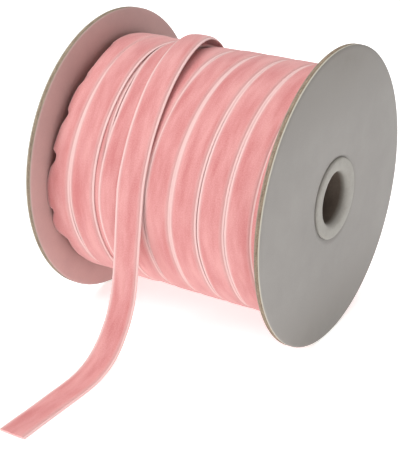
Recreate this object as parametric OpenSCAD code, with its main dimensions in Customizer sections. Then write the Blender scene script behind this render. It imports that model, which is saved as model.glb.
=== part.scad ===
// Ribbon spool: a paperboard spool of two laminated flanges, a barrel tube and a rolled liner tube,
// wound with narrow velvet ribbon whose free end hangs down at the front and lies on the table.
// The axis lies along X, halfway between the flanges. The rims stand on z = 0.

/* [Flanges] */
// Diameter of the two flanges
flange_d = 102; // [92:1:140]
// Thickness of the chipboard disc of a flange
board_t = 1.4; // [1:0.1:3]
// Thickness of the lined paper on a flange's outer side
outer_facing_t = 0.7; // [0.5:0.1:1.2]
// Thickness of the thin paper on a flange's inner side
inner_facing_t = 0.3; // [0.2:0.1:0.8]
// Clear width between the two flanges
winding_w = 84.6; // [66:0.2:110]

/* [Core] */
// Inside diameter of the liner tube, which turns on a spindle
bore_d = 17.8; // [12:0.1:26]
// Wall of the liner tube
liner_wall = 1.4; // [0.8:0.1:2]
// Outside diameter of the liner's rolled lips
lip_d = 28; // [26:0.5:34]
// Outside diameter of the barrel tube that the ribbon is wound on
barrel_d = 31; // [30:0.5:60]
// Gap on the radius between the liner and what it passes through
liner_gap = 0.1; // [0.05:0.05:0.5]
// Radius that the mouth of the liner is rounded to
mouth_r = 2; // [1:0.1:2.2]
// Depth that a rolled lip is pressed into its flange
lip_press = 0.9; // [0.2:0.1:0.9]
// Width of the sloping edge of the pressed recess
recess_slope = 1.2; // [0.4:0.1:2]
// Gap on the radius between a lip and the foot of that slope
recess_gap = 0.25; // [0.1:0.05:0.5]

/* [Ribbon] */
// Width of the ribbon
ribbon_w = 10; // [8:0.5:14]
// Thickness of the ribbon with its pile
ribbon_t = 1; // [0.6:0.1:1.4]
// Gap between one turn and the next
turn_gap = 0.1; // [0.05:0.05:0.5]
// Diameter over the outer layer of turns
wound_d = 85.2; // [72:0.2:88]
// Clearance between the winding and a flange
side_gap = 0.3; // [0.1:0.1:1]
// Clearance between the last turn and the turns it lies on
last_turn_gap = 0.3; // [0.3:0.1:0.6]
// Distance from the middle of the spool to the middle of the last turn, where the free end leaves it
leave_x = -8; // [-14:0.2:4]
// Height of that place, as an angle above the front
leave_angle = 8; // [0:1:20]

/* [Tape] */
// Thickness of the tape that holds the ribbon's inner end
tape_t = 0.15; // [0.1:0.05:0.3]
// Width of the tape, along the axis
tape_w = 18; // [12:1:24]
// Angle of the barrel that the tape covers
tape_angle = 70; // [40:5:120]

/* [Hidden] */
$fn = 96;

axis_z = flange_d / 2;
flange_t = board_t + outer_facing_t + inner_facing_t;
inner_face_x = winding_w / 2;
outer_face_x = inner_face_x + flange_t;

bore_r = bore_d / 2;
liner_r = bore_r + liner_wall;
hole_r = liner_r + liner_gap;
lip_r = lip_d / 2;
lip_edge_r = liner_wall / 2;
lip_base_x = outer_face_x - lip_press;
lip_face_x = lip_base_x + liner_wall;
recess_foot_r = lip_r + recess_gap;
recess_r = recess_foot_r + recess_slope;
board_outer_x = outer_face_x - outer_facing_t;
barrel_r = barrel_d / 2;

pitch = ribbon_w + turn_gap;
wound_r = wound_d / 2;
outer_turns_r = wound_r - ribbon_t;
inner_layers_r = barrel_r + tape_t;
winding_end = inner_face_x - side_gap;
last_turn_r = wound_r + last_turn_gap + ribbon_t / 2;
turns_left = leave_x - ribbon_w / 2;

// The last turn crosses back over the winding from the left flange. Each point is an angle above the front,
// up and over the top, and how far the ribbon's middle is from where it leaves.
LAST_TURN_ROUTE = [
    [leave_angle, 0], [25, 0.6], [42, 0.4], [60, -0.8], [78, -2.4], [95, -4.8], [112, -7.8], [130, -11],
    [148, -14.3], [166, -17.6], [184, -20.7], [202, -23.5], [220, -25.8], [238, -27.4], [256, -28.4],
    [275, -28.8]];
LAST_TURN_POINTS = [for (q = LAST_TURN_ROUTE)
    [max(leave_x + q[1], ribbon_w / 2 - winding_end), -last_turn_r * cos(q[0]),
     axis_z + last_turn_r * sin(q[0])]];

// The free end's middle line, from the end of the last turn to the cut end, as x, y and z.
FREE_END_ROUTE = [
    LAST_TURN_POINTS[0], [-8, -44, 50], [-8, -45, 42.5], [-8, -46, 35], [-8, -47, 28], [-8.1, -48, 22.5],
    [-8.2, -49.4, 18], [-8.3, -51.2, 14], [-8.4, -53.6, 10.4], [-8.5, -56.5, 7], [-8.6, -60, 4.2],
    [-8.7, -64, 2.2], [-8.7, -69, 1], [-8.7, -75, 0.6], [-8.8, -83, 0.6], [-8.9, -91, 0.6],
    [-9.1, -100, 0.6], [-9.2, -106.5, 0.6]];

// A ring about the spool's axis, from x0 to x1 and from radius r0 to r1.
module ring(x0, x1, r0, r1) {
    translate([x0, 0, axis_z]) rotate([0, 90, 0]) difference() {
        cylinder(r = r1, h = x1 - x0);
        translate([0, 0, -1]) cylinder(r = r0, h = x1 - x0 + 2);
    }
}

// The same part of the right flange again as the left one.
module on_left() {
    mirror([1, 0, 0]) children();
}

// Turns a section about the spool's axis. The section has the radius along x and the axis along y.
module turned() {
    translate([0, 0, axis_z]) rotate([0, 90, 0]) rotate_extrude() children();
}

// A flange's outward side as the lip's press leaves it, as radii and places along the axis, from the hole
// to the rim. The outer facing and the board below it both follow it.
function pressed_side(x) =
    [[hole_r, x - lip_press], [recess_foot_r, x - lip_press], [recess_r, x], [axis_z, x]];

module flange_board() {
    side = pressed_side(board_outer_x);
    foot_x = inner_face_x + inner_facing_t;
    color("#9a7b5c") turned() polygon(concat(side, [[axis_z, foot_x], [hole_r, foot_x]]));
}

module inner_facing() {
    color("#b8a49c") ring(inner_face_x, inner_face_x + inner_facing_t, hole_r, axis_z);
}

module outer_facing() {
    under = pressed_side(board_outer_x);
    back = [for (i = [len(under) - 1:-1:0]) under[i]];
    color("#a5a19e") turned() polygon(concat(pressed_side(outer_face_x), back));
}

// Half of the liner's section: a straight wall whose end turns out over the flange.
module liner_half_section() {
    difference() {
        union() {
            translate([bore_r, 0]) square([liner_wall, lip_face_x]);
            translate([bore_r, lip_base_x]) square([lip_r - lip_edge_r - bore_r, liner_wall]);
            translate([lip_r - lip_edge_r, lip_base_x + lip_edge_r]) circle(r = lip_edge_r);
        }
        translate([bore_r, lip_face_x - mouth_r]) difference() {
            translate([-1, 0]) square([mouth_r + 1, mouth_r + 1]);
            translate([mouth_r, 0]) circle(r = mouth_r);
        }
    }
}

module liner_tube() {
    color("#b3aca2") turned() {
        liner_half_section();
        mirror([0, 1]) liner_half_section();
    }
}

module barrel_tube() {
    color("#a98c6a") ring(-inner_face_x, inner_face_x, hole_r, barrel_r);
}

// The tape lies on the barrel at its left end, under the first turn.
module end_tape() {
    color("#e8e0cc") translate([side_gap - inner_face_x, 0, axis_z]) rotate([0, 90, 0])
        rotate_extrude(angle = tape_angle) translate([barrel_r, 0]) square([tape_t, tape_w]);
}

module ribbon_inner_layers() {
    color("#d98a86") ring(-winding_end, winding_end, inner_layers_r, outer_turns_r);
}

// The outer layer's turns, a pitch apart and counted from the one under the place where the free end
// leaves. The turns next to a flange are crowded into the width that is left.
module ribbon_outer_turns() {
    first = floor((-winding_end - turns_left) / pitch);
    last = ceil((winding_end - turns_left) / pitch) - 1;
    color("#e99b96") for (i = [first:last]) {
        left = max(-winding_end, turns_left + i * pitch);
        right = min(winding_end, turns_left + i * pitch + ribbon_w);
        if (right - left > turn_gap) ring(left, right, outer_turns_r, wound_r);
    }
}

// A point on a smooth curve from b to c, where a and d are the points before and after.
function curve_point(a, b, c, d, u) =
    0.5 * (2 * b + (c - a) * u + (2 * a - 5 * b + 4 * c - d) * u * u + (3 * b - 3 * c + d - a) * u * u * u);

function along(route, t) =
    let (n = len(route), i = min(floor(t), n - 2), u = t - i)
    curve_point(route[max(i - 1, 0)], route[i], route[i + 1], route[min(i + 2, n - 1)], u);

// The ribbon's section round a point: flat along x, thin across its path.
function strip_ring(p, across) =
    let (w = ribbon_w / 2, t = ribbon_t / 2, c = ribbon_t / 5)
    [for (q = [[-w, -t + c], [-w + c, -t], [w - c, -t], [w, -t + c],
               [w, t - c], [w - c, t], [-w + c, t], [-w, t - c]])
        p + [q[0], 0, 0] + q[1] * across];

// Out from the spool's axis at a point on the winding.
function outward(p) = let (d = [0, p[1], p[2] - axis_z]) d / norm(d);

// Square to the free end's path at t, on the side that faces out from the winding.
function across_at(route, t) =
    let (d = along(route, min(t + 0.05, len(route) - 1)) - along(route, max(t - 0.05, 0)),
         l = norm([d[1], d[2]]))
    t == 0 ? outward(route[0]) : [0, d[2] / l, -d[1] / l];

// A closed strip through rings of eight points.
module strip(rings) {
    sides = 8;
    steps = len(rings) - 1;
    points = [for (r = rings, p = r) p];
    walls = [for (k = [0:steps - 1], j = [0:sides - 1])
        let (a = k * sides + j, b = k * sides + (j + 1) % sides)
        each [[a, b, b + sides], [a, b + sides, a + sides]]];
    caps = [[for (j = [0:sides - 1]) sides - 1 - j], [for (j = [0:sides - 1]) steps * sides + j]];
    polyhedron(points, concat(walls, caps));
}

// The last turn runs from underneath, round the back and over the top to the front. Its rings come nearer
// to the axis between the route's points, so each is put back at the turn's own radius.
module ribbon_last_turn() {
    steps = 60;
    color("#f2b1ab") strip([for (k = [0:steps])
        let (p = along(LAST_TURN_POINTS, (1 - k / steps) * (len(LAST_TURN_POINTS) - 1)), o = outward(p))
        strip_ring([p[0], 0, axis_z] + last_turn_r * o, o)]);
}

module ribbon_free_end() {
    steps = 34;
    color("#f4b7b0") strip([for (k = [0:steps])
        let (t = k * (len(FREE_END_ROUTE) - 1) / steps)
        strip_ring(along(FREE_END_ROUTE, t), across_at(FREE_END_ROUTE, t))]);
}

liner_tube();
barrel_tube();
on_left() flange_board();  // left_flange_board
on_left() outer_facing();  // left_outer_facing
on_left() inner_facing();  // left_inner_facing
flange_board();  // right_flange_board
outer_facing();  // right_outer_facing
inner_facing();  // right_inner_facing
end_tape();
ribbon_inner_layers();
ribbon_outer_turns();
ribbon_last_turn();
ribbon_free_end();
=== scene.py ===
import math

import bmesh
import bpy
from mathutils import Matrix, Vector, noise


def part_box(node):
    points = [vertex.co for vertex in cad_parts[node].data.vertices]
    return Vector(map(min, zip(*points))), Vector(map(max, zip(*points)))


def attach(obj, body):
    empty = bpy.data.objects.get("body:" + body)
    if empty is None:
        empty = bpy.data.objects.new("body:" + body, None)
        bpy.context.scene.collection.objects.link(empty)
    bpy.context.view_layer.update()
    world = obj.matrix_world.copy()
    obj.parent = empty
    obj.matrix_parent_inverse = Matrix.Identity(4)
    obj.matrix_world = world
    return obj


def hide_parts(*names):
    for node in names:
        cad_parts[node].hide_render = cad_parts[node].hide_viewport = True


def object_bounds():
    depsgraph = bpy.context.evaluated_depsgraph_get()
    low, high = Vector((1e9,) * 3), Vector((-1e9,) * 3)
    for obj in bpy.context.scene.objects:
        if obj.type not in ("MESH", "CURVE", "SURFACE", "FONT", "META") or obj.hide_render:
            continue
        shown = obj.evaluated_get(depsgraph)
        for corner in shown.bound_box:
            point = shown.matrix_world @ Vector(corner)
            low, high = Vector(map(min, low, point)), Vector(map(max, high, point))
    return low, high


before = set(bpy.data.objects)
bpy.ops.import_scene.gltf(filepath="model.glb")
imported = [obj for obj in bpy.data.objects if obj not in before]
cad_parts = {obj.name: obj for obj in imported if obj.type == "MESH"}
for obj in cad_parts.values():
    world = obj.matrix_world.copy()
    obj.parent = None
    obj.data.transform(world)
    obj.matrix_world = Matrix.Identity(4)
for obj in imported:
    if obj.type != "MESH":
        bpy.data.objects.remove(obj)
cad_low, cad_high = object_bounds()

# The view: a table-top shot of the spool from its right and above, with a long lens that keeps the two
# flanges nearly the same size.
CAMERA_PLACE = Vector((0.2081, -0.3505, 0.2181))
CAMERA_TARGET = Vector((-0.0025, -0.0086, 0.0333))
CAMERA_LENS = 101.4

scene = bpy.context.scene
camera = bpy.data.objects.new("camera", bpy.data.cameras.new("camera"))
scene.collection.objects.link(camera)
scene.camera = camera
camera.data.lens = CAMERA_LENS
camera.data.clip_start = 0.01
camera.data.clip_end = 20
camera.location = CAMERA_PLACE
camera.rotation_euler = (CAMERA_TARGET - CAMERA_PLACE).to_track_quat("-Z", "Y").to_euler()
scene.view_settings.view_transform = "Standard"

# The light: a bright, pale room and three soft boxes. The largest is above and to the left, and the right
# flange turns away from it, so that it is the greyest face.
SPOOL_MIDDLE = Vector((0, 0, 0.05))


def soft_box(name, place, size, power):
    lamp = bpy.data.lights.new(name, "AREA")
    lamp.shape = "DISK"
    lamp.size = size
    lamp.energy = power
    box = bpy.data.objects.new(name, lamp)
    scene.collection.objects.link(box)
    box.location = place
    box.rotation_euler = (SPOOL_MIDDLE - Vector(place)).to_track_quat("-Z", "Y").to_euler()


soft_box("key_soft_box", (-0.35, -0.55, 0.75), 0.6, 5.5)
soft_box("top_soft_box", (0.0, 0.1, 1.0), 0.8, 4.2)
soft_box("side_soft_box", (0.75, -0.45, 0.14), 0.7, 1.5)

room = bpy.data.worlds.new("room")
scene.world = room
room.use_nodes = True
room.node_tree.nodes["Background"].inputs["Color"].default_value = (1.0, 0.99, 0.98, 1)
room.node_tree.nodes["Background"].inputs["Strength"].default_value = 0.34

# The floor: a sheet of white sweep paper, much larger than the view, just under the rims.
FLOOR_SIDE = 6.0
FLOOR_DROP = 0.0001


def new_material(name):
    """A new material, with its node tree and its Principled shader."""
    material = bpy.data.materials.new(name)
    material.use_nodes = True
    tree = material.node_tree
    return material, tree, tree.nodes["Principled BSDF"]


def node(tree, kind, values=None, **settings):
    """Adds a node. settings are its own properties, and values its sockets by name or number: a socket
    takes a plain value, or another node's output."""
    made = tree.nodes.new(kind)
    for key, value in settings.items():
        setattr(made, key, value)
    for key, value in (values or {}).items():
        if isinstance(value, bpy.types.NodeSocket):
            tree.links.new(value, made.inputs[key])
        else:
            made.inputs[key].default_value = value
    return made


def ramp(tree, factor, *stops):
    """A colour ramp with the given (place, colour) stops."""
    made = node(tree, "ShaderNodeValToRGB", {"Fac": factor})
    elements = made.color_ramp.elements
    while len(elements) < len(stops):
        elements.new(1.0)
    for element, (place, colour) in zip(elements, stops):
        element.position = place
        element.color = (*colour, 1)
    return made.outputs["Color"]


def noise_at(tree, vector, scale, detail=4.0, roughness=0.55):
    made = node(tree, "ShaderNodeTexNoise", {"Vector": vector, "Scale": scale, "Detail": detail,
                                             "Roughness": roughness})
    return made.outputs["Fac"]


def sweep_paper():
    material, tree, shader = new_material("sweep_paper")
    place = node(tree, "ShaderNodeTexCoord").outputs["Object"]
    tone = ramp(tree, noise_at(tree, place, 3.0), (0.3, (0.93, 0.93, 0.93)), (0.7, (0.95, 0.95, 0.95)))
    tree.links.new(tone, shader.inputs["Base Color"])
    shader.inputs["Roughness"].default_value = 0.9
    shader.inputs["Emission Color"].default_value = (1, 1, 1, 1)
    shader.inputs["Emission Strength"].default_value = 0.58
    return material


bm = bmesh.new()
bmesh.ops.create_grid(bm, x_segments=4, y_segments=4, size=FLOOR_SIDE / 2)
bmesh.ops.translate(bm, verts=bm.verts, vec=(0, 0, -FLOOR_DROP))
floor_mesh = bpy.data.meshes.new("floor")
bm.to_mesh(floor_mesh)
bm.free()
floor_mesh.materials.append(sweep_paper())
floor = bpy.data.objects.new("floor", floor_mesh)
scene.collection.objects.link(floor)

# The ribbon: one length of narrow velvet. A deep pile stands on a satin ground, and a smooth selvedge is
# left bare along each edge. It is cut straight here and then laid along its way, one length at a time.
MM = 0.001
RIBBON_WIDTH = 10.0
RIBBON_HALF_SECTION = [
    (0, 0), (2.5, 0), (4.6, 0), (4.94, 0.04), (5.02, 0.18), (4.98, 0.33), (4.86, 0.42), (4.55, 0.44),
    (4.34, 0.46), (4.2, 0.6), (4.02, 0.75), (3.72, 0.86), (3.25, 0.91), (2.2, 0.92), (1.1, 0.92), (0, 0.92)]
SELVEDGE_TOP = 0.46
VELVET_DEEP = (0.56, 0.192, 0.190)
VELVET_PALE = (0.70, 0.335, 0.325)
# The pile's edge tone: partly the ground showing through the thinner pile, partly painted sheen on the
# pile's wall.
VELVET_EDGE_GROUND_AND_SHEEN = (0.68, 0.44, 0.42)
SELVEDGE_PINK = (0.80, 0.54, 0.52)
SATIN_BACK = (0.76, 0.42, 0.41)


def velvet():
    """Reads where a point is along and across the ribbon, and whether it is back, selvedge or pile."""
    material, tree, shader = new_material("velvet")
    along = node(tree, "ShaderNodeAttribute", attribute_name="along").outputs["Fac"]
    across = node(tree, "ShaderNodeAttribute", attribute_name="across").outputs["Fac"]
    side = node(tree, "ShaderNodeAttribute", attribute_name="side").outputs["Fac"]

    def stretched(along_scale, across_scale):
        first = node(tree, "ShaderNodeMath", {0: along, 1: along_scale}, operation="MULTIPLY")
        second = node(tree, "ShaderNodeMath", {0: across, 1: across_scale}, operation="MULTIPLY")
        return node(tree, "ShaderNodeCombineXYZ", {0: first.outputs[0], 1: second.outputs[0]}).outputs[0]

    streaks = noise_at(tree, stretched(0.05, 0.22), 1.0, 3.0)
    nap = noise_at(tree, stretched(2.2, 3.0), 1.0, 2.0)
    mixed = node(tree, "ShaderNodeMix", {"Factor": 0.35, 2: streaks, 3: nap}, data_type="FLOAT").outputs[0]
    pile = ramp(tree, mixed, (0.36, VELVET_DEEP), (0.62, VELVET_PALE))
    offset = node(tree, "ShaderNodeMath", {0: across}, operation="ABSOLUTE").outputs[0]
    # Toward each edge the pile turns paler and greyer: partly the ground showing through, partly painted
    # sheen on the pile's wall.
    shoulder = node(tree, "ShaderNodeMapRange", {"Value": offset, "From Min": 3.1, "From Max": 4.25,
                                                 "To Max": 0.6}).outputs[0]
    pile = node(tree, "ShaderNodeMix", {0: shoulder, 6: pile, 7: (*VELVET_EDGE_GROUND_AND_SHEEN, 1)},
                data_type="RGBA").outputs[2]
    ribs = node(tree, "ShaderNodeTexWave", {"Vector": stretched(1.0, 0.0), "Scale": 0.75,
                                            "Distortion": 0.4}).outputs["Fac"]
    woven = ramp(tree, ribs, (0.0, tuple(0.93 * c for c in SELVEDGE_PINK)), (1.0, SELVEDGE_PINK))
    satin = ramp(tree, noise_at(tree, stretched(0.4, 6.0), 1.0), (0.3, SATIN_BACK),
                 (0.7, tuple(min(1, 1.08 * c) for c in SATIN_BACK)))
    is_pile = node(tree, "ShaderNodeMapRange", {"Value": side, "From Min": 0.15,
                                                "From Max": 0.45}).outputs[0]
    is_back = node(tree, "ShaderNodeMapRange", {"Value": side, "From Min": -0.2,
                                                "From Max": -0.6}).outputs[0]
    colour = node(tree, "ShaderNodeMix", {0: is_pile, 6: woven, 7: pile}, data_type="RGBA").outputs[2]
    colour = node(tree, "ShaderNodeMix", {0: is_back, 6: colour, 7: satin}, data_type="RGBA").outputs[2]
    tree.links.new(colour, shader.inputs["Base Color"])
    rough = node(tree, "ShaderNodeMapRange", {"Value": is_pile, "To Min": 0.55, "To Max": 0.95}).outputs[0]
    tree.links.new(rough, shader.inputs["Roughness"])
    shader.inputs["Sheen Weight"].default_value = 0.55
    shader.inputs["Sheen Roughness"].default_value = 0.45
    shader.inputs["Sheen Tint"].default_value = (1.0, 0.84, 0.83, 1)
    shader.inputs["Specular IOR Level"].default_value = 0.2
    fine = noise_at(tree, stretched(5.0, 5.0), 1.0, 3.0, 0.7)
    height = node(tree, "ShaderNodeMix", {"Factor": is_pile, 2: ribs, 3: fine},
                  data_type="FLOAT").outputs[0]
    bump = node(tree, "ShaderNodeBump", {"Height": height, "Strength": 0.25, "Distance": 0.0002})
    tree.links.new(bump.outputs["Normal"], shader.inputs["Normal"])
    return material


VELVET = velvet()


def cut_ribbon(lengths):
    """A straight length of ribbon, with a ring of its section at each of the lengths (mm). Its points hold
    their places along and across it, and the side they are on: -1 back, 0 selvedge, 1 pile."""
    half = RIBBON_HALF_SECTION
    outline = half + [(-x, z) for x, z in reversed(half[1:-1])]
    sides = len(outline)
    bm = bmesh.new()
    layers = {word: bm.verts.layers.float.new(word) for word in ("along", "across", "side")}
    line = [bm.verts.new((1, place, 0)) for place in range(len(lengths))]
    edges = [bm.edges.new(pair) for pair in zip(line, line[1:])]
    bmesh.ops.spin(bm, geom=edges + line, cent=(0, 0, 0), axis=(0, 1, 0), angle=math.tau, steps=sides,
                   use_merge=True)
    for place in (0, len(lengths) - 1):
        ring = [e for e in bm.edges if all(abs(v.co.y - place) < 0.5 for v in e.verts)]
        bmesh.ops.contextual_create(bm, geom=ring)
    for point in bm.verts:
        x, z = outline[round(math.atan2(-point.co.z, point.co.x) / math.tau * sides) % sides]
        point.co = (x, point.co.y, z)
        point[layers["along"]] = lengths[round(point.co.y)]
        point[layers["across"]] = x
        point[layers["side"]] = 1.0 if z > SELVEDGE_TOP + 0.02 else -1.0 if z == 0 else 0.0
    for face in bm.faces:
        face.smooth = len(face.verts) == 4
        if len(face.verts) > 4:
            for edge in face.edges:
                edge.smooth = False
    return bm


def lay_ribbon(name, stations, body, *nodes, shape=None):
    """Lays a length of ribbon along its stations: (length so far, middle of its back, the way across, the
    way out, width factor, height factor), in mm. shape may bend a point further."""
    bm = cut_ribbon([s[0] for s in stations])
    for point in bm.verts:
        number = round(point.co.y)
        length, middle, across, out, width, height = stations[number]
        x = point.co.x * width
        z = point.co.z * height
        if shape:
            x, z = shape(number, x, z)
        point.co = (middle + x * across + z * out) * MM
    bmesh.ops.recalc_face_normals(bm, faces=bm.faces)
    mesh = bpy.data.meshes.new(name)
    bm.to_mesh(mesh)
    bm.free()
    mesh.materials.append(VELVET)
    piece = bpy.data.objects.new(name, mesh)
    scene.collection.objects.link(piece)
    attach(piece, body)
    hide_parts(*nodes)
    return piece


# The free end: the last of the ribbon hangs from the front of the winding, bends over the table and runs
# straight out, velvet side up, to its square cut end. Its route starts where the last turn lets go.
AXIS_HEIGHT = (cad_high.z - cad_low.z) / 2 / MM
LEAVE_ANGLE = math.radians(8)
LAST_TURN_MIDDLE = 43.4
FREE_END_ROUTE = [
    (-8, -LAST_TURN_MIDDLE * math.cos(LEAVE_ANGLE), AXIS_HEIGHT + LAST_TURN_MIDDLE * math.sin(LEAVE_ANGLE)),
    (-8, -44, 50), (-8, -45, 42.5), (-8, -46, 35), (-8, -47, 28), (-8.1, -48, 22.5), (-8.2, -49.4, 18),
    (-8.3, -51.2, 14), (-8.4, -53.6, 10.4), (-8.5, -56.5, 7), (-8.6, -60, 4.2), (-8.7, -64, 2.2),
    (-8.7, -69, 1), (-8.7, -75, 0.6), (-8.8, -83, 0.6), (-8.9, -91, 0.6), (-9.1, -100, 0.6),
    (-9.2, -106.5, 0.6)]
FREE_END_STEPS = 8
RIBBON_BACK = 0.5
# How much lower its right edge is than its left where it leaves the winding, and where that has worn off.
LEAVE_DROP = 0.7
LEVEL_BY = 18.0
# How much its width wavers, as a share, and how fast along its length.
WAVER = 0.02
WAVER_RATE = 0.06


def smooth_point(points, t):
    """The point at t on a smooth curve through the points, where each is 1 from the next."""
    i = min(int(t), len(points) - 2)
    a, b, c, d = (Vector(points[max(0, min(len(points) - 1, i + k))]) for k in (-1, 0, 1, 2))
    u = t - i
    return 0.5 * (2 * b + (c - a) * u + (2 * a - 5 * b + 4 * c - d) * u ** 2
                  + (3 * b - 3 * c + d - a) * u ** 3)


free_count = (len(FREE_END_ROUTE) - 1) * FREE_END_STEPS
free_line = [smooth_point(FREE_END_ROUTE, k / FREE_END_STEPS) for k in range(free_count + 1)]
free_lengths = [0.0]
for a, b in zip(free_line, free_line[1:]):
    free_lengths.append(free_lengths[-1] + (b - a).length)
free_stations = []
for k, middle in enumerate(free_line):
    heading = free_line[min(k + 1, free_count)] - free_line[max(k - 1, 0)]
    out = Vector((0, heading.z, -heading.y)).normalized()
    if k == 0:
        out = Vector((0, -math.cos(LEAVE_ANGLE), math.sin(LEAVE_ANGLE)))
    tilt = LEAVE_DROP / RIBBON_WIDTH * max(0.0, 1 - free_lengths[k] / LEVEL_BY)
    across = (Vector((1, 0, 0)) - tilt * out).normalized()
    leaning = (out + tilt * Vector((1, 0, 0))).normalized()
    ripple = WAVER * noise.noise(Vector((free_lengths[k] * WAVER_RATE, 3.0, 0)))
    free_stations.append((free_lengths[k], middle - RIBBON_BACK * out, across, leaning, 1.0 + ripple, 1))
free_end = lay_ribbon("ribbon_free_end_velvet", free_stations, "free_ribbon", "ribbon_free_end")

# The last turn: it leaves the turn at the left flange underneath, crosses the winding at the back, stands a
# little loose over the top, and comes down the front to where the free end begins.
# Each row: degrees above the front going up over the top, distance from where it leaves, radius of its
# back, how much lower its right edge is than its left, and width factor.
LAST_TURN_ROUTE = [
    (8, 0, 42.9, LEAVE_DROP, 1.0), (25, 0.6, 43.1, 0.7, 0.96), (42, 0.5, 43.5, 0.5, 0.96),
    (60, -0.5, 44.1, -0.2, 1.0), (78, -2.1, 44.7, -0.7, 1.0), (95, -4.6, 44.8, -0.7, 0.99),
    (112, -7.8, 44.3, -0.3, 0.97), (130, -11, 43.6, 0.0, 0.97), (148, -14.3, 43.1, 0.0, 0.97),
    (166, -17.6, 42.95, 0.0, 0.97), (184, -20.7, 42.9, 0.0, 0.97), (202, -23.5, 42.9, 0.0, 0.97),
    (220, -25.8, 42.9, 0.0, 0.97), (238, -27.4, 42.9, 0.0, 0.97), (256, -28.4, 42.9, 0.0, 0.97),
    (275, -28.8, 42.9, 0.0, 0.97)]
LAST_TURN_STEP = 2.5
# The arch over the top: where its middle is and how far it reaches each way, in degrees, how many degrees
# of a cosine one of them is, and how much higher the middle is than the edges.
ARCH_MIDDLE = 88
ARCH_REACH = 56
ARCH_RATE = 1.6
ARCH_HEIGHT = 0.5


def smooth_row(rows, t):
    """The other values of the rows at the place t in their first column, on smooth curves through them."""
    i = max(0, min(len(rows) - 2, sum(row[0] <= t for row in rows) - 1))
    before, a, b, after = (rows[max(0, min(len(rows) - 1, i + k))] for k in (-1, 0, 1, 2))
    span = b[0] - a[0]
    u = (t - a[0]) / span
    values = []
    for j in range(1, len(a)):
        leaving = (b[j] - before[j]) / (b[0] - before[0]) * span
        arriving = (after[j] - a[j]) / (after[0] - a[0]) * span
        values.append(a[j] * (1 + 2 * u) * (1 - u) ** 2 + b[j] * u * u * (3 - 2 * u)
                      + leaving * u * (1 - u) ** 2 + arriving * u * u * (u - 1))
    return values


def winding_frame(degrees, x, radius, drop):
    """The middle of the ribbon's back, its way across and its way out, at a place on the winding. drop is
    how much lower the right edge is than the left."""
    angle = math.radians(degrees)
    out = Vector((0, -math.cos(angle), math.sin(angle)))
    tilt = drop / RIBBON_WIDTH
    across = (Vector((1, 0, 0)) - tilt * out).normalized()
    leaning = (out + tilt * Vector((1, 0, 0))).normalized()
    return Vector((x, 0, AXIS_HEIGHT)) + radius * out, across, leaning


start, finish = LAST_TURN_ROUTE[-1][0], LAST_TURN_ROUTE[0][0]
last_count = round((start - finish) / LAST_TURN_STEP)
last_stations = []
for k in range(last_count + 1):
    degrees = start + (finish - start) * k / last_count
    shift, radius, drop, width = smooth_row(LAST_TURN_ROUTE, degrees)
    middle, across, out = winding_frame(degrees, FREE_END_ROUTE[0][0] + shift, radius, drop)
    length = -math.radians(degrees - finish) * LAST_TURN_MIDDLE
    last_stations.append((length, middle, across, out, width, 1))


def arched(number, x, z):
    """The ribbon stands loose over the top, so that its middle is higher than its edges."""
    off = start + (finish - start) * number / last_count - ARCH_MIDDLE
    loose = max(0.0, math.cos(math.radians(ARCH_RATE * off))) if abs(off) < ARCH_REACH else 0.0
    return x, z - ARCH_HEIGHT * loose * (x / (RIBBON_WIDTH / 2)) ** 2


lay_ribbon("ribbon_last_turn_velvet", last_stations, "free_ribbon", "ribbon_last_turn", shape=arched)

# The two outer layers: one length of ribbon that is wound from the left flange to the right one and back,
# turn beside turn. Where the turns don't meet, the layer underneath shows.
# Each pair: the middle of a turn at the top of the spool, and at the front, a quarter turn further on.
OUTER_TURNS = [(37.2, 37.2), (34.9, 31.8), (25.3, 21.8), (15.4, 11.6), (5.6, 1.7), (-4.6, -8.4),
               (-17.0, -16.5), (-27.3, -28.1), (-35.6, -38.4)]
# The start and end of the layer underneath: turns before the first one's front, and the middle there.
LOWER_START = (-8.0, -34.5)
LOWER_END = (-0.9, 35.7)
OUTER_BACK = 41.6
LOWER_BACK = 40.6
WOUND_END = 8.24
# Each row: turns since the first one's front, radius of the back, how much lower the right edge is than the
# left, width factor and height factor.
OUTER_LIE = [
    (-8.0, LOWER_BACK, 0, 0.98, 1), (-0.9, LOWER_BACK, 0, 0.98, 0.95), (-0.4, OUTER_BACK - 0.4, 0, 1, 0.95),
    (0.1, OUTER_BACK - 0.4, 0, 1, 0.95), (0.45, OUTER_BACK, 0, 0.99, 1), (4.4, OUTER_BACK, 0, 0.99, 1),
    (4.72, OUTER_BACK - 0.2, -0.2, 0.98, 0.95), (5.05, OUTER_BACK - 0.35, -0.6, 0.98, 0.95),
    (5.45, OUTER_BACK, 0, 0.98, 1), (5.72, OUTER_BACK, 0, 1, 1), (5.9, OUTER_BACK + 0.05, -0.3, 1, 0.95),
    (6.02, OUTER_BACK + 0.1, -0.5, 1, 0.95), (6.3, OUTER_BACK, 0, 1, 1), (7.4, OUTER_BACK, 0, 1, 1),
    (7.72, OUTER_BACK + 0.15, -0.3, 1.04, 1), (7.88, OUTER_BACK + 0.05, -0.1, 1.05, 1),
    (8.1, OUTER_BACK, 0, 1.06, 1), (8.3, OUTER_BACK, 0, 1.04, 1), (9.3, OUTER_BACK, 0, 1.04, 1)]

places = [LOWER_START, LOWER_END]
for k, (top, front) in enumerate(OUTER_TURNS):
    places += [(k - 0.25, top), (k, front), (k + 0.1, front + 0.4)]
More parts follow.
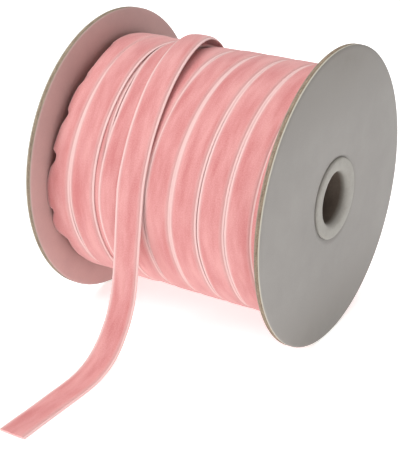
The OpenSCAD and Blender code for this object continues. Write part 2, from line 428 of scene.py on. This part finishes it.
# Some turns stray half-way from the top to the front. The last two rows hold the end of the winding.
places += [(4.875, -5.1), (5.875, -14.8), (6.875, -27.1), (7.875, -36.7), (WOUND_END, -37.6), (9, -37.0)]
places.sort()
CROWDED_FROM = 7.4
STEPS_A_TURN = 131
CROWDED_STEPS = 240
marks = [LOWER_START[0] + k / STEPS_A_TURN
         for k in range(round((CROWDED_FROM - LOWER_START[0]) * STEPS_A_TURN))]
marks += [CROWDED_FROM + (WOUND_END - CROWDED_FROM) * k / CROWDED_STEPS for k in range(CROWDED_STEPS + 1)]
wound_stations = []
for turns in marks:
    x, = smooth_row(places, turns)
    radius, drop, width, height = smooth_row(OUTER_LIE, turns)
    middle, across, out = winding_frame(-360 * turns, x, radius, drop)
    wound_stations.append((turns * 2 * math.pi * OUTER_BACK, middle, across, out, width, height))

# The turn beside the left flange is too wide for the room there. Its left part turns down along the flange,
# and the slack of that shorter edge stands in lobes, with a fold pinched in between one and the next.
# Each row: degrees above the front, where across the ribbon the bend starts, its angle, and a lift.
BEND_RADIUS = 2.6
LAST_FRONT = len(OUTER_TURNS) - 1
# Only ribbon whose middle is left of this bends, and it takes the next millimetres to bend fully.
CROWDED_MIDDLE = -33.2
CROWDED_EASE = 1.5
# How far past the bend the slack is fully there.
SLACK_BY = 2.4
BENDS = [
    (-90, 0, 50, 0), (-47, 0, 46, 0), (-38, 0.1, 46, 0), (-31, 0.1, 50, 0), (-26, -1.3, 46, 0.6),
    (-21, -2.6, 42, 1.2), (-14, -2.2, 46, 0.8), (-7, -2.6, 42, 0.9), (1, -2.2, 46, 0.5), (9, -1.0, 50, 0),
    (18, -0.9, 50, 0), (27, -0.3, 52, 0), (36, 0.1, 53, 0), (47, -0.3, 52, 0), (60, 0.2, 49, 0),
    (72, -0.1, 48, 0), (82, -1.6, 43, 0), (93, -2.8, 38, 0), (110, -3.4, 33, 0), (160, -3.6, 30, 0),
    (220, -3.6, 30, 0)]
# Each pair: degrees above the front of a fold, and how deep it is.
FOLDS = [(-48, 0.4), (-29, 0.7), (-12, 2.2), (15.5, 2.5), (36, 0.8), (56, 0.8), (80, 0.3), (103, 0.5),
         (121, 0.5), (143, 0.7)]
FOLD_ABOVE = 2.6
FOLD_BELOW = 6.5
FOLD_SHARPNESS = 1.3
FOLD_SHARE = 0.9
LOBE_WAVER = 0.25
LOBE_WAVER_RATE = 0.11
# What would go through the flange turns down along it, and leans off it a little.
TURNED_DOWN = 0.9
FLANGE_LEAN = 0.1
FLANGE_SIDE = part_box("left_inner_facing")[1].x / MM + 0.08


def crowded(number, x, z):
    """Bends and folds the left part of the turn beside the left flange, and holds it off the flange."""
    length, middle = wound_stations[number][:2]
    degrees = 360 * (LAST_FRONT - length / (2 * math.pi * OUTER_BACK))
    if middle.x > CROWDED_MIDDLE or degrees > BENDS[-1][0]:
        return x, z
    begin, most, lift = smooth_row(BENDS, degrees)
    past = begin - x
    if past <= 0:
        return x, z
    bending = min(1.0, (CROWDED_MIDDLE - middle.x) / CROWDED_EASE)
    angle = min(past / BEND_RADIUS, math.radians(most)) * bending
    rest = past - BEND_RADIUS * angle
    share = min(1.0, past / SLACK_BY)
    pinch = 0
    for place, depth in FOLDS:
        off = abs(degrees - place) / (FOLD_ABOVE if degrees > place else FOLD_BELOW)
        pinch += depth * max(0.0, 1 - off) ** FOLD_SHARPNESS
    x = begin - (BEND_RADIUS + z) * math.sin(angle) - rest * math.cos(angle) + share * FOLD_SHARE * pinch
    z = z * math.cos(angle) - BEND_RADIUS * (1 - math.cos(angle)) - rest * math.sin(angle)
    waver = LOBE_WAVER * noise.noise(Vector((degrees * LOBE_WAVER_RATE, 1.7, 0)))
    z += share * (lift - FOLD_SHARE * pinch + waver)
    beyond = FLANGE_SIDE - middle.x - x
    if beyond > 0:
        return FLANGE_SIDE - middle.x + FLANGE_LEAN * max(0, 1 - z), z - TURNED_DOWN * beyond
    return x, z


lay_ribbon("ribbon_outer_turns_velvet", wound_stations, "spool", "ribbon_outer_turns", shape=crowded)

# The inner layers: the rest of the ribbon, wound to and fro. Only their edges could ever show, as narrow
# steps one above the other beside each flange.
layers_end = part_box("ribbon_inner_layers")[1].x / MM
LAYER_INNER = 15.65
LAYER_OUTER = 40.5
LAYER_COUNT = 25
LAYER_STEP_DEPTH = 0.35
SHOULDER_FROM = 20
SHOULDER_STEP = 0.5
LAYER_SETBACK = 0.15
LAYER_SLOPE = 0.6


def turned_piece(name, outline, eased, body, material, nodes, steps=160):
    """Turns a closed outline of (place along the axis, radius) points round the spool's axis, in mm.
    eased gives the corners that are rounded, by number, each with its radius."""
    bm = bmesh.new()
    corners = [bm.verts.new((x, 0, AXIS_HEIGHT + radius)) for x, radius in outline]
    face = bm.faces.new(corners)
    for radius in sorted(set(eased.values())):
        chosen = [corners[k] for k, r in eased.items() if r == radius]
        bmesh.ops.bevel(bm, geom=chosen, offset=radius, offset_type="OFFSET", affect="VERTICES",
                        segments=4 if radius > 0.5 else 2, profile=0.5, material=-1)
    bmesh.ops.delete(bm, geom=list(bm.faces), context="FACES_ONLY")
    bmesh.ops.spin(bm, geom=list(bm.verts) + list(bm.edges), cent=(0, 0, AXIS_HEIGHT), axis=(1, 0, 0),
                   angle=math.tau, steps=steps, use_merge=True)
    bmesh.ops.recalc_face_normals(bm, faces=bm.faces)
    for face in bm.faces:
        face.smooth = True
    bmesh.ops.scale(bm, verts=bm.verts, vec=(MM, MM, MM))
    mesh = bpy.data.meshes.new(name)
    bm.to_mesh(mesh)
    bm.free()
    mesh.materials.append(material)
    piece = bpy.data.objects.new(name, mesh)
    scene.collection.objects.link(piece)
    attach(piece, body)
    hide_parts(*nodes)
    return piece


def layered_velvet():
    """The edges of the layers: pale selvedge and pink pile by turns, by distance from the axis."""
    material, tree, shader = new_material("layered_velvet")
    place = node(tree, "ShaderNodeTexCoord").outputs["Object"]
    centred = node(tree, "ShaderNodeMapping", {"Vector": place, "Location": (0, 0, -AXIS_HEIGHT * MM)})
    parts = node(tree, "ShaderNodeSeparateXYZ", {0: centred.outputs[0]}).outputs
    flat = node(tree, "ShaderNodeCombineXYZ", {1: parts[1], 2: parts[2]}).outputs[0]
    radius = node(tree, "ShaderNodeVectorMath", {0: flat}, operation="LENGTH").outputs["Value"]
    layer = node(tree, "ShaderNodeMath", {0: radius, 1: MM}, operation="PINGPONG").outputs[0]
    level = node(tree, "ShaderNodeMath", {0: layer, 1: 1 / MM}, operation="MULTIPLY").outputs[0]
    banded = ramp(tree, level, (0.25, SELVEDGE_PINK), (0.5, VELVET_DEEP))
    fuzz = ramp(tree, noise_at(tree, place, 900.0), (0.3, VELVET_DEEP), (0.7, VELVET_PALE))
    colour = node(tree, "ShaderNodeMix", {0: 0.6, 6: banded, 7: fuzz}, data_type="RGBA").outputs[2]
    tree.links.new(colour, shader.inputs["Base Color"])
    shader.inputs["Roughness"].default_value = 0.9
    shader.inputs["Sheen Weight"].default_value = 0.3
    return material


thickness = (LAYER_OUTER - LAYER_INNER) / LAYER_COUNT
right_side = []
for k in range(LAYER_COUNT):
    base = LAYER_INNER + k * thickness
    shoulder = SHOULDER_STEP * max(0, k - SHOULDER_FROM)
    edge = layers_end - (k % 2) * LAYER_STEP_DEPTH - LAYER_SETBACK - shoulder
    right_side += [(edge, base + 0.03), (edge, base + 0.3),
                   (edge - LAYER_SLOPE, base + thickness - 0.02)]
left_side = [(-x, radius) for x, radius in reversed(right_side)]
turned_piece("ribbon_inner_layers_velvet", right_side + left_side, {}, "spool", layered_velvet(),
             ["ribbon_inner_layers"], steps=96)

# The barrel tube: a spiral-wound kraft tube that keeps the flanges apart, with the strip of paper tape that
# held the first of the ribbon on it. Both are buried under the winding.
KRAFT_DARK = (0.23, 0.15, 0.095)
KRAFT_PALE = (0.42, 0.31, 0.21)


def kraft(name, dark, pale, fibre=1.0):
    """Brown board of mixed waste fibre: short pale and dark fibres, pressed in plies."""
    material, tree, shader = new_material(name)
    place = node(tree, "ShaderNodeTexCoord").outputs["Object"]
    plies = node(tree, "ShaderNodeMapping", {"Vector": place, "Scale": (6, 1, 1)}).outputs[0]
    coarse = noise_at(tree, plies, 260.0 * fibre, 6.0, 0.7)
    fine = noise_at(tree, place, 1900.0, 4.0, 0.7)
    mixed = node(tree, "ShaderNodeMix", {"Factor": 0.4, 2: coarse, 3: fine}, data_type="FLOAT").outputs[0]
    colour = ramp(tree, mixed, (0.38, dark), (0.62, pale))
    tree.links.new(colour, shader.inputs["Base Color"])
    shader.inputs["Roughness"].default_value = 0.9
    shader.inputs["Specular IOR Level"].default_value = 0.25
    bump = node(tree, "ShaderNodeBump", {"Height": mixed, "Strength": 0.5, "Distance": 0.0002})
    tree.links.new(bump.outputs["Normal"], shader.inputs["Normal"])
    return material


def dress(name, material):
    """Gives a CAD node its material."""
    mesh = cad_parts[name].data
    mesh.materials.clear()
    mesh.materials.append(material)


dress("barrel_tube", kraft("barrel_kraft", KRAFT_DARK, KRAFT_PALE))
dress("end_tape", kraft("tape_paper", (0.66, 0.58, 0.45), (0.80, 0.74, 0.62), 0.5))

# The flange boards: discs of grey-brown chipboard, died out with the hole and pressed in round it. Their
# cut edge is the brown line round each rim.
hole = 10.4
rim = AXIS_HEIGHT
inner_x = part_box("right_flange_board")[0].x / MM
board_x = 44.0
PRESS_DEPTH = 0.9
PRESS_FOOT = 13.5
LIP_SIDE = 14.2
LIP_SIDE_DEPTH = 0.4
PRESS_EDGE = 15.6
RIM_HOLD = 0.5
PINCH_FROM = 1.4
HOLD_SHARE = 0.3
BOARD_PINCH = 0.1
INNER_PINCH = 0.2

board_material = kraft("board_edge", (0.15, 0.108, 0.078), (0.36, 0.285, 0.205))


def pressed_side(x, pinch):
    """A flange layer's outward side, from the hole to the rim: the lip's press dents it by the hole, and
    the die pinches it at the rim."""
    return [(x - PRESS_DEPTH, hole), (x - PRESS_DEPTH, PRESS_FOOT), (x - LIP_SIDE_DEPTH, LIP_SIDE),
            (x, PRESS_EDGE), (x, rim - PINCH_FROM), (x - HOLD_SHARE * pinch, rim - RIM_HOLD),
            (x - pinch, rim)]


def flange_layer(name, outline, eased, material, node_name, hand):
    outline = [(hand * x, radius) for x, radius in outline]
    return turned_piece(name, outline, eased, "spool", material, [node_name])


for hand, word in ((1, "right"), (-1, "left")):
    outline = pressed_side(board_x, BOARD_PINCH) + [
        (inner_x + INNER_PINCH, rim), (inner_x, rim - PINCH_FROM), (inner_x, hole)]
    flange_layer(word + "_flange_board_died", outline, {3: 0.6},
                 board_material, word + "_flange_board", hand)

# The outer facings: smooth grey lining paper, laminated on the board with its pale cut edge showing.
FACING_GREY = (0.30, 0.282, 0.265)
FACING_CREAM = (0.46, 0.43, 0.36)
# The colour of the painted shade that darkens the facings toward the top and bottom of the rim.
FACING_PAINTED_SHADE = (0.235, 0.215, 0.195)
FACING_PINCH = 0.35
# The painted shade starts and is full this far above or below the axis, and the cut edge this far in.
PAINTED_SHADE_FROM = 24
PAINTED_SHADE_BY = 52
CUT_FROM = 0.12
CUT_BY = 0.03


def facing_paper(name, dark, pale, edge, painted_shade_colour, painted_shade_amount):
    """Machine-smooth paper: a faint cloudiness, fine short fibres, a raw cut edge of another colour, and
    painted shade that darkens it toward the top and bottom of the rim."""
    material, tree, shader = new_material(name)
    place = node(tree, "ShaderNodeTexCoord").outputs["Object"]
    clouds = noise_at(tree, place, 55.0, 5.0, 0.6)
    fibres = noise_at(tree, place, 1500.0, 3.0, 0.7)
    mixed = node(tree, "ShaderNodeMix", {"Factor": 0.25, 2: clouds, 3: fibres},
                 data_type="FLOAT").outputs[0]
    colour = ramp(tree, mixed, (0.35, dark), (0.65, pale))
    centred = node(tree, "ShaderNodeMapping", {"Vector": place, "Location": (0, 0, -AXIS_HEIGHT * MM)})
    parts = node(tree, "ShaderNodeSeparateXYZ", {0: centred.outputs[0]}).outputs
    flat = node(tree, "ShaderNodeCombineXYZ", {1: parts[1], 2: parts[2]}).outputs[0]
    radius = node(tree, "ShaderNodeVectorMath", {0: flat}, operation="LENGTH").outputs["Value"]
    # Painted shade: darker toward the top and bottom of the rim, by height above or below the axis,
    # unevenly with the clouds.
    held = node(tree, "ShaderNodeMath", {0: parts[2]}, operation="ABSOLUTE").outputs[0]
    painted_shade_mask = node(tree, "ShaderNodeMapRange", {"Value": held, "From Min": PAINTED_SHADE_FROM * MM,
                                              "From Max": PAINTED_SHADE_BY * MM, "To Max": painted_shade_amount}).outputs[0]
    uneven_painted_shade = node(tree, "ShaderNodeMath", {0: painted_shade_mask, 1: clouds}, operation="MULTIPLY").outputs[0]
    painted_shade_share = node(tree, "ShaderNodeMath", {0: uneven_painted_shade, 1: 2.0}, operation="MULTIPLY").outputs[0]
    colour = node(tree, "ShaderNodeMix", {0: painted_shade_share, 6: colour, 7: (*painted_shade_colour, 1)},
                  data_type="RGBA").outputs[2]
    cut = node(tree, "ShaderNodeMapRange", {"Value": radius, "From Min": (rim - CUT_FROM) * MM,
                                            "From Max": (rim - CUT_BY) * MM}).outputs[0]
    colour = node(tree, "ShaderNodeMix", {0: cut, 6: colour, 7: (*edge, 1)}, data_type="RGBA").outputs[2]
    tree.links.new(colour, shader.inputs["Base Color"])
    shader.inputs["Roughness"].default_value = 0.55
    shader.inputs["Specular IOR Level"].default_value = 0.35
    bump = node(tree, "ShaderNodeBump", {"Height": mixed, "Strength": 0.15, "Distance": 0.0002})
    tree.links.new(bump.outputs["Normal"], shader.inputs["Normal"])
    return material


outer_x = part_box("right_outer_facing")[1].x / MM
# The outer facings are given painted shade toward the top and bottom of the rim.
outer_paper = facing_paper("outer_facing_paper", tuple(0.94 * c for c in FACING_GREY),
                           tuple(1.06 * c for c in FACING_GREY), FACING_CREAM, FACING_PAINTED_SHADE, 0.9)
for hand, word in ((1, "right"), (-1, "left")):
    under = list(reversed(pressed_side(board_x, BOARD_PINCH)))
    outline = pressed_side(outer_x, FACING_PINCH) + under
    flange_layer(word + "_outer_facing_laid", outline, {3: 0.6, 6: 0.12, 10: 0.4},
                 outer_paper, word + "_outer_facing", hand)

# The inner facings: a thinner sheet of the same stock on the side that the ribbon lies against.
near, far = (corner.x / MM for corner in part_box("right_inner_facing"))
# Pinker and paler than the outer facing's grey, though the same stock: painted pink bounce light from the
# ribbon and painted floor bounce.
INNER_GREY_PAINTED_BOUNCE = (0.53, 0.345, 0.325)
inner_paper = facing_paper("inner_facing_paper", tuple(0.93 * c for c in INNER_GREY_PAINTED_BOUNCE),
                           tuple(1.07 * c for c in INNER_GREY_PAINTED_BOUNCE), (0.32, 0.26, 0.21), INNER_GREY_PAINTED_BOUNCE, 0.0)
for hand, word in ((1, "right"), (-1, "left")):
    outline = [(far, hole), (far, rim - PINCH_FROM), (far + INNER_PINCH, rim), (near + 0.25, rim),
               (near + 0.08, rim - RIM_HOLD), (near, rim - PINCH_FROM), (near, hole)]
    flange_layer(word + "_inner_facing_laid", outline, {},
                 inner_paper, word + "_inner_facing", hand)

# The liner tube: a thin paper tube pushed through the middle. Its ends are rolled out over the flanges and
# pressed down, and its mouth is rounded. It is pale paper at the lips, with dark brown painted shade inside
# the bore.
lip_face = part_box("liner_tube")[1].x / MM
bore = 8.9
liner_wall = 1.4
lip = 14.0
MOUTH_ROUND = 2.0
LIP_ROUND = 0.65
ROOT_ROUND = 0.2
# The painted shade in the bore ends, and the pale paper starts and is full, this far in from the lip's
# face.
BORE_SHADE_ENDS_FROM = 3.2
BORE_SHADE_ENDS_BY = 1.2


def liner_paper():
    material, tree, shader = new_material("liner_paper")
    place = node(tree, "ShaderNodeTexCoord").outputs["Object"]
    parts = node(tree, "ShaderNodeSeparateXYZ", {0: place}).outputs
    away = node(tree, "ShaderNodeMath", {0: parts[0]}, operation="ABSOLUTE").outputs[0]
    clouds = noise_at(tree, place, 220.0, 5.0, 0.6)
    fibres = noise_at(tree, place, 1700.0, 3.0, 0.7)
    mixed = node(tree, "ShaderNodeMix", {"Factor": 0.35, 2: clouds, 3: fibres},
                 data_type="FLOAT").outputs[0]
    pale = ramp(tree, mixed, (0.35, (0.31, 0.292, 0.262)), (0.65, (0.365, 0.348, 0.315)))
    # Painted shade: deeper in the bore the paper is painted dark brown.
    brown = ramp(tree, mixed, (0.35, (0.10, 0.075, 0.058)), (0.65, (0.15, 0.115, 0.09)))
    clear_of_bore_shade = node(tree, "ShaderNodeMapRange", {"Value": away, "From Min": (lip_face - BORE_SHADE_ENDS_FROM) * MM,
                                              "From Max": (lip_face - BORE_SHADE_ENDS_BY) * MM}).outputs[0]
    colour = node(tree, "ShaderNodeMix", {0: clear_of_bore_shade, 6: brown, 7: pale}, data_type="RGBA").outputs[2]
    tree.links.new(colour, shader.inputs["Base Color"])
    shader.inputs["Roughness"].default_value = 0.6
    bump = node(tree, "ShaderNodeBump", {"Height": mixed, "Strength": 0.2, "Distance": 0.0002})
    tree.links.new(bump.outputs["Normal"], shader.inputs["Normal"])
    return material


half = [(lip_face, bore), (lip_face, lip), (lip_face - liner_wall, lip),
        (lip_face - liner_wall, bore + liner_wall)]
outline = half + [(-x, radius) for x, radius in reversed(half)]
eased = {0: MOUTH_ROUND, 7: MOUTH_ROUND, 1: LIP_ROUND, 2: LIP_ROUND, 5: LIP_ROUND, 6: LIP_ROUND,
         3: ROOT_ROUND, 4: ROOT_ROUND}
turned_piece("liner_tube_rolled", outline, eased, "spool", liner_paper(), ["liner_tube"])
